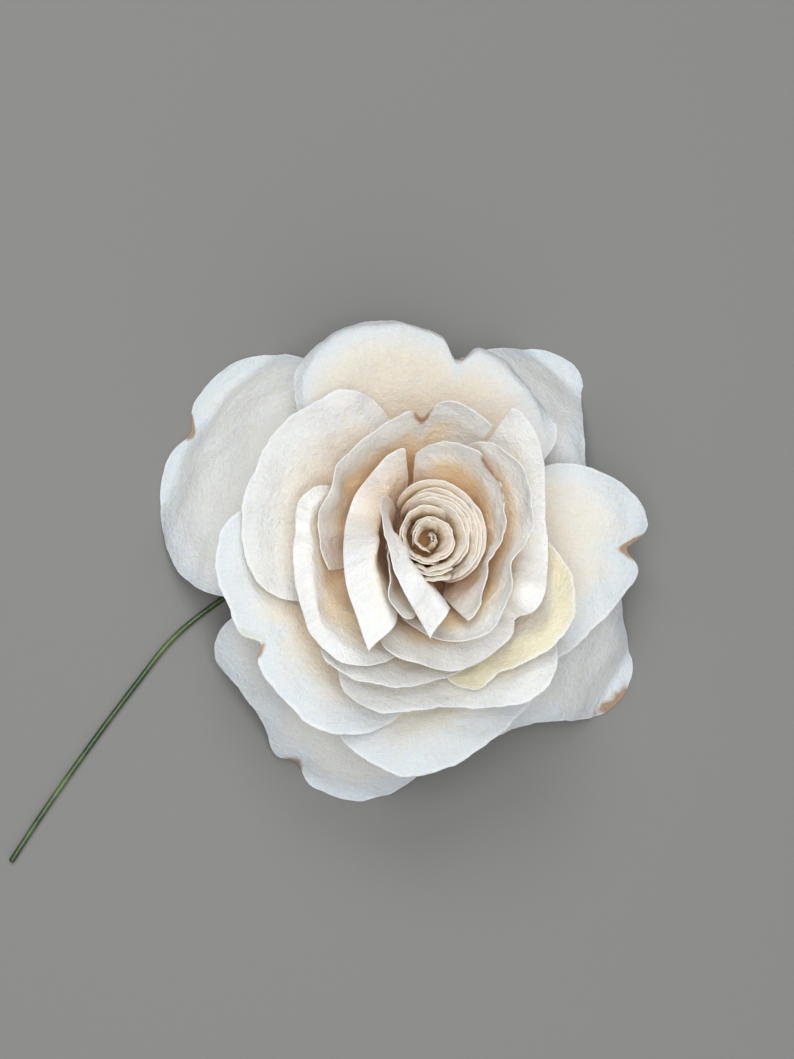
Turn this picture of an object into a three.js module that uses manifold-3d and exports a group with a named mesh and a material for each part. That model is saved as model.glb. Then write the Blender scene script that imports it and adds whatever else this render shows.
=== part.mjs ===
// Dried full-blown rose on a wire, lying face up. Millimetres, +Z up, the floor at z = 0.
// The flower's axis is vertical; angles are degrees round it, counter-clockwise from the right (+X).

import * as THREE from "three";
import Module from "manifold-3d";
import { mergeVertices } from "three/addons/utils/BufferGeometryUtils.js";

const wasm = await Module();
wasm.setup();

// Driving dimensions

const PETAL_THICKNESS = 0.6;
const FIT_GAP = 0.3; // between pieces that touch
const WIRE_DIAMETER = 1.2;
const WIRE_BEND_RADIUS = 3.2; // where the wire turns from the hip to the floor
const HIP_BOTTOM = 4.4; // underside of the hip
const BORE_DEPTH = 4.6; // of the wire in the hip
const SEPAL_COUNT = 5;
const SEPAL_LENGTH = 21;
const SEPAL_WIDTH = 7.5;
const SEPAL_THICKNESS = 0.8;
const SEAT_OUTER = [8.6, 12.0]; // radius and height of the ring the outermost petals grow from
const SEAT_INNER = [1.2, 20.5]; // and of the innermost ring
const COLUMNS = 15; // of a petal's grid, side to side
const ROWS = 8; // of a petal's grid, base to rim

// The nest of bowls
//
// Every petal lies in one of a family of bowls nested inside each other, so that petals of different
// level can't cross. Level 0 is the flat, drooping outermost bowl and level 1 the upright innermost one.
// Each row is a level (0, 0.2, 0.4, 0.6, 0.8, 1): the slope of the bowl in degrees at 0, 15, 30, 45 and
// 60 mm from the seat.

const NEST_STEP = 15;
const NEST_SLOPES = [
  [24, 4, -22, -52, -66],
  [34, 26, 8, -16, -40],
  [44, 42, 32, 14, 0],
  [48, 60, 66, 64, 60],
  [60, 76, 84, 86, 86],
  [84, 90, 90, 90, 90],
];

// The petals
//
// turn: direction of the petal's middle line; span: degrees from there to either side edge.
// seat, level: the bowl at the petal's base and at its rim. side: change of level across the petal.
// rim: length from base to rim across the petal, from its clockwise to its other side edge.
// corner: share of the rim length left at the side edges, which rounds the petal's corners.
// notch: [place across (-1 to 1), depth, width] of a notch in the rim.
// curl, roll: degrees that the rim rolls outwards, across the petal, and the length that rolls.
// fold: share of that length over which it bends; the rest stays flat.
// skew: degrees that the rolled rim leans sideways. lift: degrees added to the slope.
// claw: share of the span at the base. start: distance from the seat where the petal begins.

const PLAIN = {
  side: [0],
  corner: [0.5, 0.5],
  notch: [],
  curl: [0],
  roll: 8,
  fold: 1,
  skew: [0],
  lift: [0],
  claw: 0.35,
  start: 0,
};

const PETALS = {
  // four guard petals, drooping to the floor
  guard_petal_left: {
    turn: 152, span: 44, seat: 0, level: 0,
    rim: [44, 50, 58, 59, 56, 54, 49, 45, 42],
    notch: [[-0.06, 5, 0.09]],
  },
  guard_petal_lower_right: {
    turn: -36, span: 40, seat: 0.02, level: 0.01,
    rim: [38, 38, 37, 42, 55, 57, 46, 40, 38],
  },
  guard_petal_upper_right: {
    turn: 47, span: 38, seat: 0.04, level: 0.02,
    rim: [33, 35, 37, 43, 60, 57, 46, 40, 34],
  },
  guard_petal_bottom: {
    turn: 240, span: 42, seat: 0.06, level: 0.02, lift: [-6],
    rim: [44, 44, 41, 42, 50, 53, 53, 47, 40],
    notch: [[0.05, 4, 0.08]],
  },
  // four outer petals
  outer_petal_right: {
    turn: -6, span: 42, seat: 0.12, level: 0.15,
    rim: [32, 33, 34, 37, 42, 45, 43, 38, 34],
    notch: [[0.17, 5, 0.08]],
  },
  outer_petal_top: {
    turn: 84, span: 50, seat: 0.17, level: 0.21,
    rim: [42, 40, 41, 43, 45, 46.5, 47, 45.5, 43],
    notch: [[-0.13, 5, 0.06]],
    curl: [0, 60, 60, 60, 60, 60, 20], roll: 5.5, fold: 0.455,
  },
  outer_petal_bottom: {
    turn: 280, span: 50, seat: 0.21, level: 0.25,
    rim: [36, 38, 41, 43, 41, 38, 36, 35, 35],
  },
  outer_petal_lower_left: {
    turn: 214, span: 56, seat: 0.265, level: 0.31,
    rim: [34, 39, 40, 39, 39, 40, 41, 39, 38],
    notch: [[-0.04, 3, 0.05]],
  },
  // four middle petals
  middle_petal_upper_left: {
    turn: 154, span: 54, seat: 0.315, level: 0.37,
    rim: [32, 36, 36, 37, 37, 37, 36, 36, 36],
  },
  middle_petal_bottom: {
    turn: 280, span: 50, seat: 0.365, level: 0.42,
    rim: [38, 38, 38, 36, 35, 38, 41, 41, 41],
    claw: 0.28,
  },
  middle_petal_yellow: {
    turn: -38, span: 48, seat: 0.425, level: 0.465,
    rim: [37, 37, 35, 36, 38, 38, 35, 32, 32],
    claw: 0.28,
  },
  middle_petal_lower: {
    turn: 262, span: 45, seat: 0.475, level: 0.505,
    rim: [42, 42, 40, 39, 37, 35, 33, 33, 33],
    claw: 0.28,
  },
  // five inner petals that wrap round the heart
  inner_petal_left: {
    turn: 205, span: 58, seat: 0.53, level: 0.54,
    rim: [37, 36, 33.5, 34.5, 37, 40.5, 41, 38, 35],
    curl: [0, 50, 65, 70, 45, 20, 0], roll: 4.5, fold: 0.444,
    claw: 0.28,
  },
  inner_petal_top: {
    turn: 129.5, span: 68.5, seat: 0.58, level: 0.57,
    rim: [40, 41, 38, 35, 34, 33, 31, 29.5, 31],
    notch: [[-0.535, 4, 0.06]],
    corner: [0.95, 0.9], claw: 0.3,
  },
  inner_petal_right: {
    turn: -28.5, span: 87, seat: 0.62, level: 0.6,
    rim: [42, 39, 37, 35, 36.5, 33, 33, 39.5, 46],
    side: [-0.03, -0.03, -0.02, 0, -0.02, -0.05, -0.09],
    notch: [[-0.14, 4, 0.05]],
    curl: [0, 20, 40, 45, 45, 45, 40, 20, 0], roll: 8, fold: 0.375,
    corner: [0.8, 0.9], claw: 0.3,
  },
  inner_wrap_outer: {
    turn: -19, span: 91, seat: 0.7, level: 0.675,
    rim: [38, 39, 41, 39, 35.5, 38, 41, 43, 46],
    side: [-0.07, -0.07, -0.03, 0, -0.02, -0.06, -0.09],
    claw: 0.3,
  },
  inner_wrap_brown_edge: {
    turn: 15, span: 86, seat: 0.78, level: 0.75,
    rim: [41, 35, 33, 36, 37.5, 39, 41, 41, 38],
    side: [-0.11, -0.03, 0.01, -0.005, -0.06, -0.1, -0.13],
    corner: [0.9, 0.8], claw: 0.3,
  },
  // the petals at the left of the heart: two with a rolled rim and a narrow one between them
  curled_petal_large: {
    turn: 176, span: 71, start: 8, level: 0.79,
    rim: [33.5, 30.5, 27.5, 29.5, 34.5, 39.5, 42, 43, 45],
    side: [-0.2, -0.13, -0.015, 0.06, 0.05, 0.005, -0.055, -0.105, -0.185],
    curl: [0, 25, 65, 96, 100, 97, 90, 81, 68], roll: 8, fold: 0.375, skew: [0, 0, 0, 0, -6],
    corner: [0.9, 1], lift: [-10, -3, 1, 0, -3], claw: 0.6,
  },
  tongue_petal: {
    turn: 221, span: 37, start: 8, seat: 0.847, level: 0.82,
    rim: [31, 32, 34, 38, 42],
    side: [0.05, 0.025, -0.05, -0.12, -0.15],
    corner: [0.5, 0.75], lift: [0, 0, -3, -8, -10], claw: 0.6,
  },
  curled_petal_small: {
    turn: 206, span: 74, start: 8, level: 0.885,
    rim: [29, 34.2, 35.9, 36.5, 37.5, 38, 39.5, 42.5, 47],
    side: [-0.235, -0.137, -0.031, 0.033, 0.046, 0.02, -0.035, -0.118, -0.228],
    curl: [0, 12, 22, 38, 46, 56, 72, 87, 90], roll: 6.5, fold: 0.385, skew: [0, 0, 0, -4, -14],
    corner: [0.8, 1], lift: [-8, -1, 1, 0.5, -2.5], claw: 0.6,
  },
};

// The heart: three petals on its right, then four that turn on in a spiral, all grown as one with a core.

const HEART_OUTER = [
  { turn: 32, span: 98, level: 0.825, rim: [31], side: [-0.02, 0, 0, -0.015, -0.045] },
  { turn: 28, span: 92, level: 0.857, rim: [30], side: [-0.02, 0, 0, -0.015, -0.04] },
  { turn: 33, span: 96, level: 0.892, rim: [29.2], side: [-0.02, 0, 0, -0.01, -0.03] },
];
const SPIRAL_LEVELS = [0.925, 0.95, 0.975, 1];
const SPIRAL_TURN = 140;
const SPIRAL_STEP = 137.5;
const SPIRAL_SPAN = 105;
const CORE_LOW_LEVEL = 0.82; // bowl that the core's foot follows
const CORE_LOW_TOP = 7.6; // distance from the seat where the foot ends
const CORE_HIGH_LEVEL = 0.93; // bowl that the core's raised middle follows
const CORE_HIGH_TOP = 16;

// Curves

function ease(x) {
  const t = Math.min(1, Math.max(0, x));
  return t * t * (3 - 2 * t);
}

// Smooth curve through four values a, b, c, d, at t from b to c.
function smooth(a, b, c, d, t) {
  const square = (2 * a - 5 * b + 4 * c - d) * t * t;
  const cube = (3 * b - a - 3 * c + d) * t * t * t;
  return 0.5 * (2 * b + (c - a) * t + square + cube);
}

// Smooth curve through values at x = 0, 1, 2 and on, carried on straight before the first and after the last.
function spline(values, x) {
  const last = values.length - 1;
  const at = Math.min(last, Math.max(0, x));
  const i = Math.min(last - 1, Math.floor(at));
  const before = i > 0 ? values[i - 1] : 2 * values[0] - values[1];
  const after = i + 2 <= last ? values[i + 2] : 2 * values[last] - values[last - 1];
  return smooth(before, values[i], values[i + 1], after, at - i);
}

// A petal's value at u across it, -1 at the clockwise side edge and 1 at the other.
function across(values, u) {
  return values.length === 1 ? values[0] : spline(values, ((u + 1) / 2) * (values.length - 1));
}

// Slope of the bowl of this level, s mm from its seat, in degrees.
function nestSlope(level, s) {
  const row = Math.min(1, Math.max(0, level)) * (NEST_SLOPES.length - 1);
  const column = NEST_SLOPES[0].map((_, k) => spline(NEST_SLOPES.map((slopes) => slopes[k]), row));
  return spline(column, s / NEST_STEP);
}

const seatOf = (level) => SEAT_OUTER.map((outer, k) => outer + (SEAT_INNER[k] - outer) * level);

// A petal's side-to-side grid lines, closer together at the side edges and at a notch.
function columnsOf(petal, count) {
  const us = [];
  for (let i = 0; i < count; i++) {
    const a = (2 * i) / (count - 1) - 1;
    us.push(0.45 * Math.sin((Math.PI / 2) * a) + 0.55 * a);
  }
  for (const [at, , width] of petal.notch) {
    const marks = [at - 1.6 * width, at - 0.7 * width, at, at + 0.7 * width, at + 1.6 * width];
    const kept = us.filter((u) => marks.every((m) => Math.abs(m - u) > 0.45 * width));
    us.length = 0;
    us.push(...kept, ...marks);
  }
  return us.sort((a, b) => a - b);
}

// Shares of the way from base to rim of the grid's rows, closer together where the rim rolls.
function rowsOf(petal, count) {
  const rolls = Math.max(...petal.curl) > 0;
  const shares = [];
  for (let i = 0; i < count; i++) {
    const a = i / (count - 1);
    shares.push(rolls ? 1 - (1 - a) ** 1.5 : a);
  }
  return shares;
}

// Points of one grid line from base to rim. The line climbs at the bowl's slope; above it the rim rolls.
function petalLine(petal, u, shares) {
  const inside = Math.sqrt(Math.max(0, 1 - Math.abs(u) ** 5));
  const corner = petal.corner[u < 0 ? 0 : 1];
  const rounding = corner + (1 - corner) * inside;
  let rim = rounding * across(petal.rim, u);
  for (const [at, depth, width] of petal.notch) rim -= depth * Math.exp(-(((u - at) / width) ** 2));
  const roll = petal.roll * (0.3 + 0.7 * rounding);
  const side = across(petal.side, u);
  const curl = across(petal.curl, u) * rounding;
  const lift = across(petal.lift, u);
  const slope = (s) => {
    const level = petal.seat + (petal.level - petal.seat) * ease(s / 25) + side * ease(s / 30);
    const rolled = curl * ease((s - rim + roll) / (roll * petal.fold));
    return (nestSlope(level, s) + lift * ease(s / 30) - rolled) * THREE.MathUtils.DEG2RAD;
  };
  const place = (s, radius, height) => {
    const width = petal.claw + (1 - petal.claw) * ease(s / 22);
    const lean = across(petal.skew, u) * ease((s - rim + 8) / 8);
    const angle = (petal.turn + petal.span * u * width + lean) * THREE.MathUtils.DEG2RAD;
    return new THREE.Vector3(radius * Math.cos(angle), radius * Math.sin(angle), onFloor(height));
  };
  let [radius, height] = seatOf(petal.seat);
  let s = 0;
  const advance = (to) => {
    const steps = Math.max(1, Math.round((to - s) / 0.8));
    const ds = (to - s) / steps;
    for (let i = 0; i < steps; i++) {
      const angle = slope(s + ds / 2);
      radius += Math.cos(angle) * ds;
      height += Math.sin(angle) * ds;
      s += ds;
    }
  };
  return shares.map((share) => {
    const to = petal.start + share * (rim - petal.start);
    if (to > s) advance(to);
    return place(s, radius, height);
  });
}

// A height that eases on to the floor: half a petal's thickness above it wherever the bowl would go under.
function onFloor(height) {
  const above = height - PETAL_THICKNESS / 2;
  if (above > 2) return height;
  return PETAL_THICKNESS / 2 + (above < -2 ? 0 : (above + 2) ** 2 / 8);
}

// Solids

// The grid of points as a closed solid of even thickness, with its middle surface on the grid.
function blade(grid, thickness) {
  const rows = grid.length;
  const columns = grid[0].length;
  const at = (i, j) => grid[Math.min(rows - 1, Math.max(0, i))][Math.min(columns - 1, Math.max(0, j))];
  const points = [];
  for (const sign of [1, -1]) {
    for (let i = 0; i < rows; i++) {
      for (let j = 0; j < columns; j++) {
        const along = new THREE.Vector3().subVectors(at(i, j + 1), at(i, j - 1));
        const up = new THREE.Vector3().subVectors(at(i + 1, j), at(i - 1, j));
        const normal = new THREE.Vector3().crossVectors(along, up).normalize();
        points.push(at(i, j).clone().addScaledVector(normal, (sign * thickness) / 2));
      }
    }
  }
  const face = (side, i, j) => (side * rows + i) * columns + j;
  const index = [];
  const quad = (a, b, c, d) => index.push(a, b, c, a, c, d);
  for (let i = 0; i < rows - 1; i++) {
    for (let j = 0; j < columns - 1; j++) {
      quad(face(0, i, j), face(0, i, j + 1), face(0, i + 1, j + 1), face(0, i + 1, j));
      const [a, b] = [face(1, i, j), face(1, i, j + 1)];
      const [c, d] = [face(1, i + 1, j + 1), face(1, i + 1, j)];
      index.push(a, c, b, a, d, c);
    }
  }
  for (let j = 0; j < columns - 1; j++) {
    quad(face(1, 0, j), face(1, 0, j + 1), face(0, 0, j + 1), face(0, 0, j));
    quad(face(0, rows - 1, j), face(0, rows - 1, j + 1), face(1, rows - 1, j + 1), face(1, rows - 1, j));
  }
  for (let i = 0; i < rows - 1; i++) {
    quad(face(0, i, 0), face(0, i + 1, 0), face(1, i + 1, 0), face(1, i, 0));
    const j = columns - 1;
    quad(face(1, i, j), face(1, i + 1, j), face(0, i + 1, j), face(0, i, j));
  }
  const geometry = new THREE.BufferGeometry().setFromPoints(points);
  geometry.setIndex(index);
  return geometry;
}

function petalBlade(values, columns, rows) {
  const petal = { ...PLAIN, ...values };
  petal.seat = petal.seat ?? petal.level;
  const shares = rowsOf(petal, rows);
  const lines = columnsOf(petal, columns).map((u) => petalLine(petal, u, shares));
  const grid = shares.map((_, i) => lines.map((line) => line[i]));
  return blade(grid, PETAL_THICKNESS);
}

// A profile of [radius, height] points turned round the axis.
function turned(profile, segments) {
  return new THREE.LatheGeometry(
    profile.map(([r, z]) => new THREE.Vector2(r, z)),
    segments,
  ).rotateX(Math.PI / 2);
}

function solid(geometry) {
  const bare = geometry.clone();
  bare.deleteAttribute("normal");
  bare.deleteAttribute("uv");
  const merged = mergeVertices(bare, 1e-4);
  return new wasm.Manifold(
    new wasm.Mesh({
      numProp: 3,
      vertProperties: new Float32Array(merged.attributes.position.array),
      triVerts: new Uint32Array(merged.index.array),
    }),
  );
}

function geometryOf(manifold) {
  const mesh = manifold.getMesh();
  const geometry = new THREE.BufferGeometry();
  geometry.setAttribute("position", new THREE.BufferAttribute(new Float32Array(mesh.vertProperties), 3));
  geometry.setIndex(new THREE.BufferAttribute(new Uint32Array(mesh.triVerts), 1));
  return geometry;
}

const join = (solids) => geometryOf(solids.slice(1).reduce((sum, next) => sum.add(next), solids[0]));

// Points of a bowl's profile from one distance to another from its seat.
function bowlProfile(level, from, to, steps) {
  const points = [];
  let [radius, height] = seatOf(level);
  let s = 0;
  for (let i = 0; i <= steps; i++) {
    const end = from + ((to - from) * i) / steps;
    while (s < end - 1e-9) {
      const ds = Math.min(0.5, end - s);
      const angle = nestSlope(level, s + ds / 2) * THREE.MathUtils.DEG2RAD;
      radius += Math.cos(angle) * ds;
      height += Math.sin(angle) * ds;
      s += ds;
    }
    points.push([radius, height]);
  }
  return points;
}

// Heart

function heartPetals() {
  const pieces = [];
  const foot = bowlProfile(CORE_LOW_LEVEL, 0.6, CORE_LOW_TOP, 3);
  const middle = bowlProfile(CORE_HIGH_LEVEL, CORE_LOW_TOP, CORE_HIGH_TOP, 3);
  const top = bowlProfile(1, CORE_HIGH_TOP, CORE_HIGH_TOP, 1)[0];
  pieces.push(solid(turned([[0, foot[0][1]], ...foot, ...middle, [0, top[1]]], 24)));
  for (const petal of HEART_OUTER) {
    pieces.push(solid(petalBlade({ ...petal, start: 6.5, claw: 0.6 }, 13, 5)));
  }
  SPIRAL_LEVELS.forEach((level, i) => {
    const start = i ? CORE_HIGH_TOP - 2 : 6.5;
    const turn = SPIRAL_TURN + SPIRAL_STEP * i;
    const petal = { turn, span: SPIRAL_SPAN, level, rim: [28 - 0.8 * i], start, claw: 0.8 };
    pieces.push(solid(petalBlade(petal, 13, i ? 4 : 5)));
  });
  return join(pieces);
}

// Calyx: the hip, the cone that the petals grow from, and five sepals bent back under the flower

function sepal(turn) {
  const grid = [];
  const steps = 7;
  let radius = 5;
  let height = 10.2;
  for (let i = 0; i < steps; i++) {
    const t = i / (steps - 1);
    const half = (SEPAL_WIDTH / 2) * Math.sin(Math.PI * (0.28 + 0.68 * t)) ** 0.8 * (1 - 0.35 * t);
    const row = [-1, -0.5, 0, 0.5, 1].map((v) => {
      const fold = 0.9 * Math.abs(v) * (1 - t);
      return new THREE.Vector3(radius, v * half, height + fold - 0.9 * (1 - t));
    });
    grid.push(row);
    const slope = (2 - 34 * t) * THREE.MathUtils.DEG2RAD;
    radius += (Math.cos(slope) * SEPAL_LENGTH) / (steps - 1);
    height += (Math.sin(slope) * SEPAL_LENGTH) / (steps - 1);
  }
  return blade(grid, SEPAL_THICKNESS).rotateZ(turn * THREE.MathUtils.DEG2RAD);
}

function calyx() {
  const hip = [
    [0, HIP_BOTTOM],
    [1.7, HIP_BOTTOM],
    [3.4, HIP_BOTTOM + 0.9],
    [4.7, HIP_BOTTOM + 2.4],
    [4.9, HIP_BOTTOM + 3.8],
    [4.5, HIP_BOTTOM + 5],
    [6, HIP_BOTTOM + 5.9],
    [8.1, HIP_BOTTOM + 6.7],
    [8.22, HIP_BOTTOM + 7.2],
    [1.95, HIP_BOTTOM + 14.4],
    [0, HIP_BOTTOM + 14.4],
  ];
  let body = solid(turned(hip, 28));
  for (let i = 0; i < SEPAL_COUNT; i++) body = body.add(solid(sepal(20 + (360 / SEPAL_COUNT) * i)));
  const boreRadius = WIRE_DIAMETER / 2 + FIT_GAP;
  const bore = new THREE.CylinderGeometry(boreRadius, boreRadius, 2 * BORE_DEPTH, 16).rotateX(Math.PI / 2);
  return geometryOf(body.subtract(solid(bore.translate(0, 0, HIP_BOTTOM))));
}

// Stem wire: out of the hip, round a bend, along the floor under the petals and out past the left guard petal

function stemWire() {
  const floor = WIRE_DIAMETER / 2;
  const bend = WIRE_BEND_RADIUS;
  const out = new THREE.Vector3(-1, -0.06, 0).normalize();
  const points = [new THREE.Vector3(0, 0, HIP_BOTTOM + BORE_DEPTH - 1)];
  for (let i = 0; i <= 6; i++) {
    const turn = (Math.PI / 2) * (i / 6);
    const point = out.clone().multiplyScalar(bend * (1 - Math.cos(turn)));
    point.z = floor + bend * (1 - Math.sin(turn));
    points.push(point);
  }
  const run = [
    [-12, -0.9], [-24, -2.6], [-34, -6], [-41.5, -10.8], [-49.3, -17.5], [-57, -27.4], [-66, -39.8],
    [-76, -54.5], [-82, -64],
  ];
  for (const [x, y] of run) points.push(new THREE.Vector3(x, y, floor));
  const path = new THREE.CatmullRomCurve3(points, false, "centripetal");
  const round = new THREE.Shape().absarc(0, 0, WIRE_DIAMETER / 2, 0, 2 * Math.PI, false);
  return new THREE.ExtrudeGeometry(round, { steps: 44, curveSegments: 8, bevelEnabled: false, extrudePath: path });
}

// Materials

const surface = (color, roughness, metalness = 0) =>
  new THREE.MeshStandardMaterial({ color, roughness, metalness });
const MATERIALS = {
  outer: surface(0xeceae4, 0.85),
  middle: surface(0xf0e8da, 0.85),
  inner: surface(0xf2e2c9, 0.85),
  heart: surface(0xf0d9b8, 0.85),
  yellow: surface(0xf0e4c2, 0.85),
  green: surface(0x66783c, 0.8),
  wire: surface(0x33502a, 0.4),
};

function materialOf(name) {
  if (name === "middle_petal_yellow") return MATERIALS.yellow;
  if (name.startsWith("guard") || name.startsWith("outer")) return MATERIALS.outer;
  if (name.startsWith("middle")) return MATERIALS.middle;
  return MATERIALS.inner;
}

// The rose

const rose = new THREE.Group();
rose.name = "dried_rose";

function add(name, geometry, material) {
  const mesh = new THREE.Mesh(geometry, material);
  mesh.name = name;
  rose.add(mesh);
}

for (const [name, petal] of Object.entries(PETALS)) {
  add(name, petalBlade(petal, COLUMNS, ROWS), materialOf(name));
}
add("heart_petals", heartPetals(), MATERIALS.heart);
add("calyx", calyx(), MATERIALS.green);
add("stem_wire", stemWire(), MATERIALS.wire);

// the origin in the middle of the base of the whole
const box = new THREE.Box3().setFromObject(rose, true);
const middle = box.getCenter(new THREE.Vector3());
rose.children.forEach((mesh) => mesh.geometry.translate(-middle.x, -middle.y, -box.min.z));

export default rose;
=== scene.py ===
"""A dried full-blown rose on a wire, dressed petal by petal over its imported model.

Lengths in the tables are millimetres and angles degrees, round the flower's upright axis,
counter-clockwise from the right; blender_mesh turns them into metres in the model's frame.
"""

import bpy
import numpy as np
from bpy.props import FloatProperty, FloatVectorProperty, IntProperty, PointerProperty
from bpy.types import Operator, Panel, PropertyGroup
from mathutils import Matrix, Vector


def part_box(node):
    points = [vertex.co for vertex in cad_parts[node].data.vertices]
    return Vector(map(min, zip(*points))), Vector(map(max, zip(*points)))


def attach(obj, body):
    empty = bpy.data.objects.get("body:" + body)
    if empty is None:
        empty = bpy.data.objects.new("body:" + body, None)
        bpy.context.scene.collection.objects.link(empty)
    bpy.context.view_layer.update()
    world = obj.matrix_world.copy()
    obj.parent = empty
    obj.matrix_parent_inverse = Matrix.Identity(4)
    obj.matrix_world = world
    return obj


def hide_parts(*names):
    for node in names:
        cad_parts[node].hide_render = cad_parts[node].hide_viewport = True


bl_info = {
    "name": "Dried rose",
    "version": (1, 0, 0),
    "blender": (4, 5, 0),
    "location": "3D View > Sidebar > Rose",
    "description": "Builds the petals, heart, calyx and wire of a dried rose over its packed model",
    "category": "Add Mesh",
}

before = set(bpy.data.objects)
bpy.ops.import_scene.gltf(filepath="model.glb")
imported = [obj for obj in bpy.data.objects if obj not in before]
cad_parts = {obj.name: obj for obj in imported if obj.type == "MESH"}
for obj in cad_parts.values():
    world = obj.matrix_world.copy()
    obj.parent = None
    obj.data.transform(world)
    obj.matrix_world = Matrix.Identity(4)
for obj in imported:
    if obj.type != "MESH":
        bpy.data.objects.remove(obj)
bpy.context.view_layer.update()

MM = 0.001
WIRE_RADIUS = 0.6
WIRE_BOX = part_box("stem_wire")
# the wire starts upright on the flower's axis, so its box ends one wire radius past the axis
AXIS = np.array([WIRE_BOX[1].x / MM - WIRE_RADIUS, WIRE_BOX[1].y / MM - WIRE_RADIUS, 0.0])

# The nest of bowls that every petal lies in

# slopes in degrees every NEST_STEP mm from the seat, a row for each level from flattest to steepest
NEST_STEP = 15.0
NEST_SLOPES = np.array([
    [24, 4, -22, -52, -66],
    [34, 26, 8, -16, -40],
    [44, 42, 32, 14, 0],
    [48, 60, 66, 64, 60],
    [60, 76, 84, 86, 86],
    [84, 90, 90, 90, 90],
], float)
# radius and height of the seat that the outermost and the innermost bowls grow from
SEAT_OUTER = (8.6, 12.0)
SEAT_INNER = (1.2, 20.5)

# rim, side, curl, skew and lift run across the petal from its clockwise to its other side edge;
# see petal_surface for what each does. stains: (across, gap from the rim, radius, strength), brown;
# greens: the same, green. warm: how peach the petal is, 0 to 1, which is partly its own tone and
# partly painted warm shade far behind its rim and at its foot. thin and ripple: its share of the
# full thickness and of the full crumple.
PLAIN = dict(side=(0,), corner=(0.5, 0.5), notch=(), curl=(0,), roll=8.0, fold=1.0, skew=(0,), lift=(0,),
             claw=0.35, start=0.0, stains=(), greens=(), warm=0.3, thin=1.0, ripple=1.0)

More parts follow.
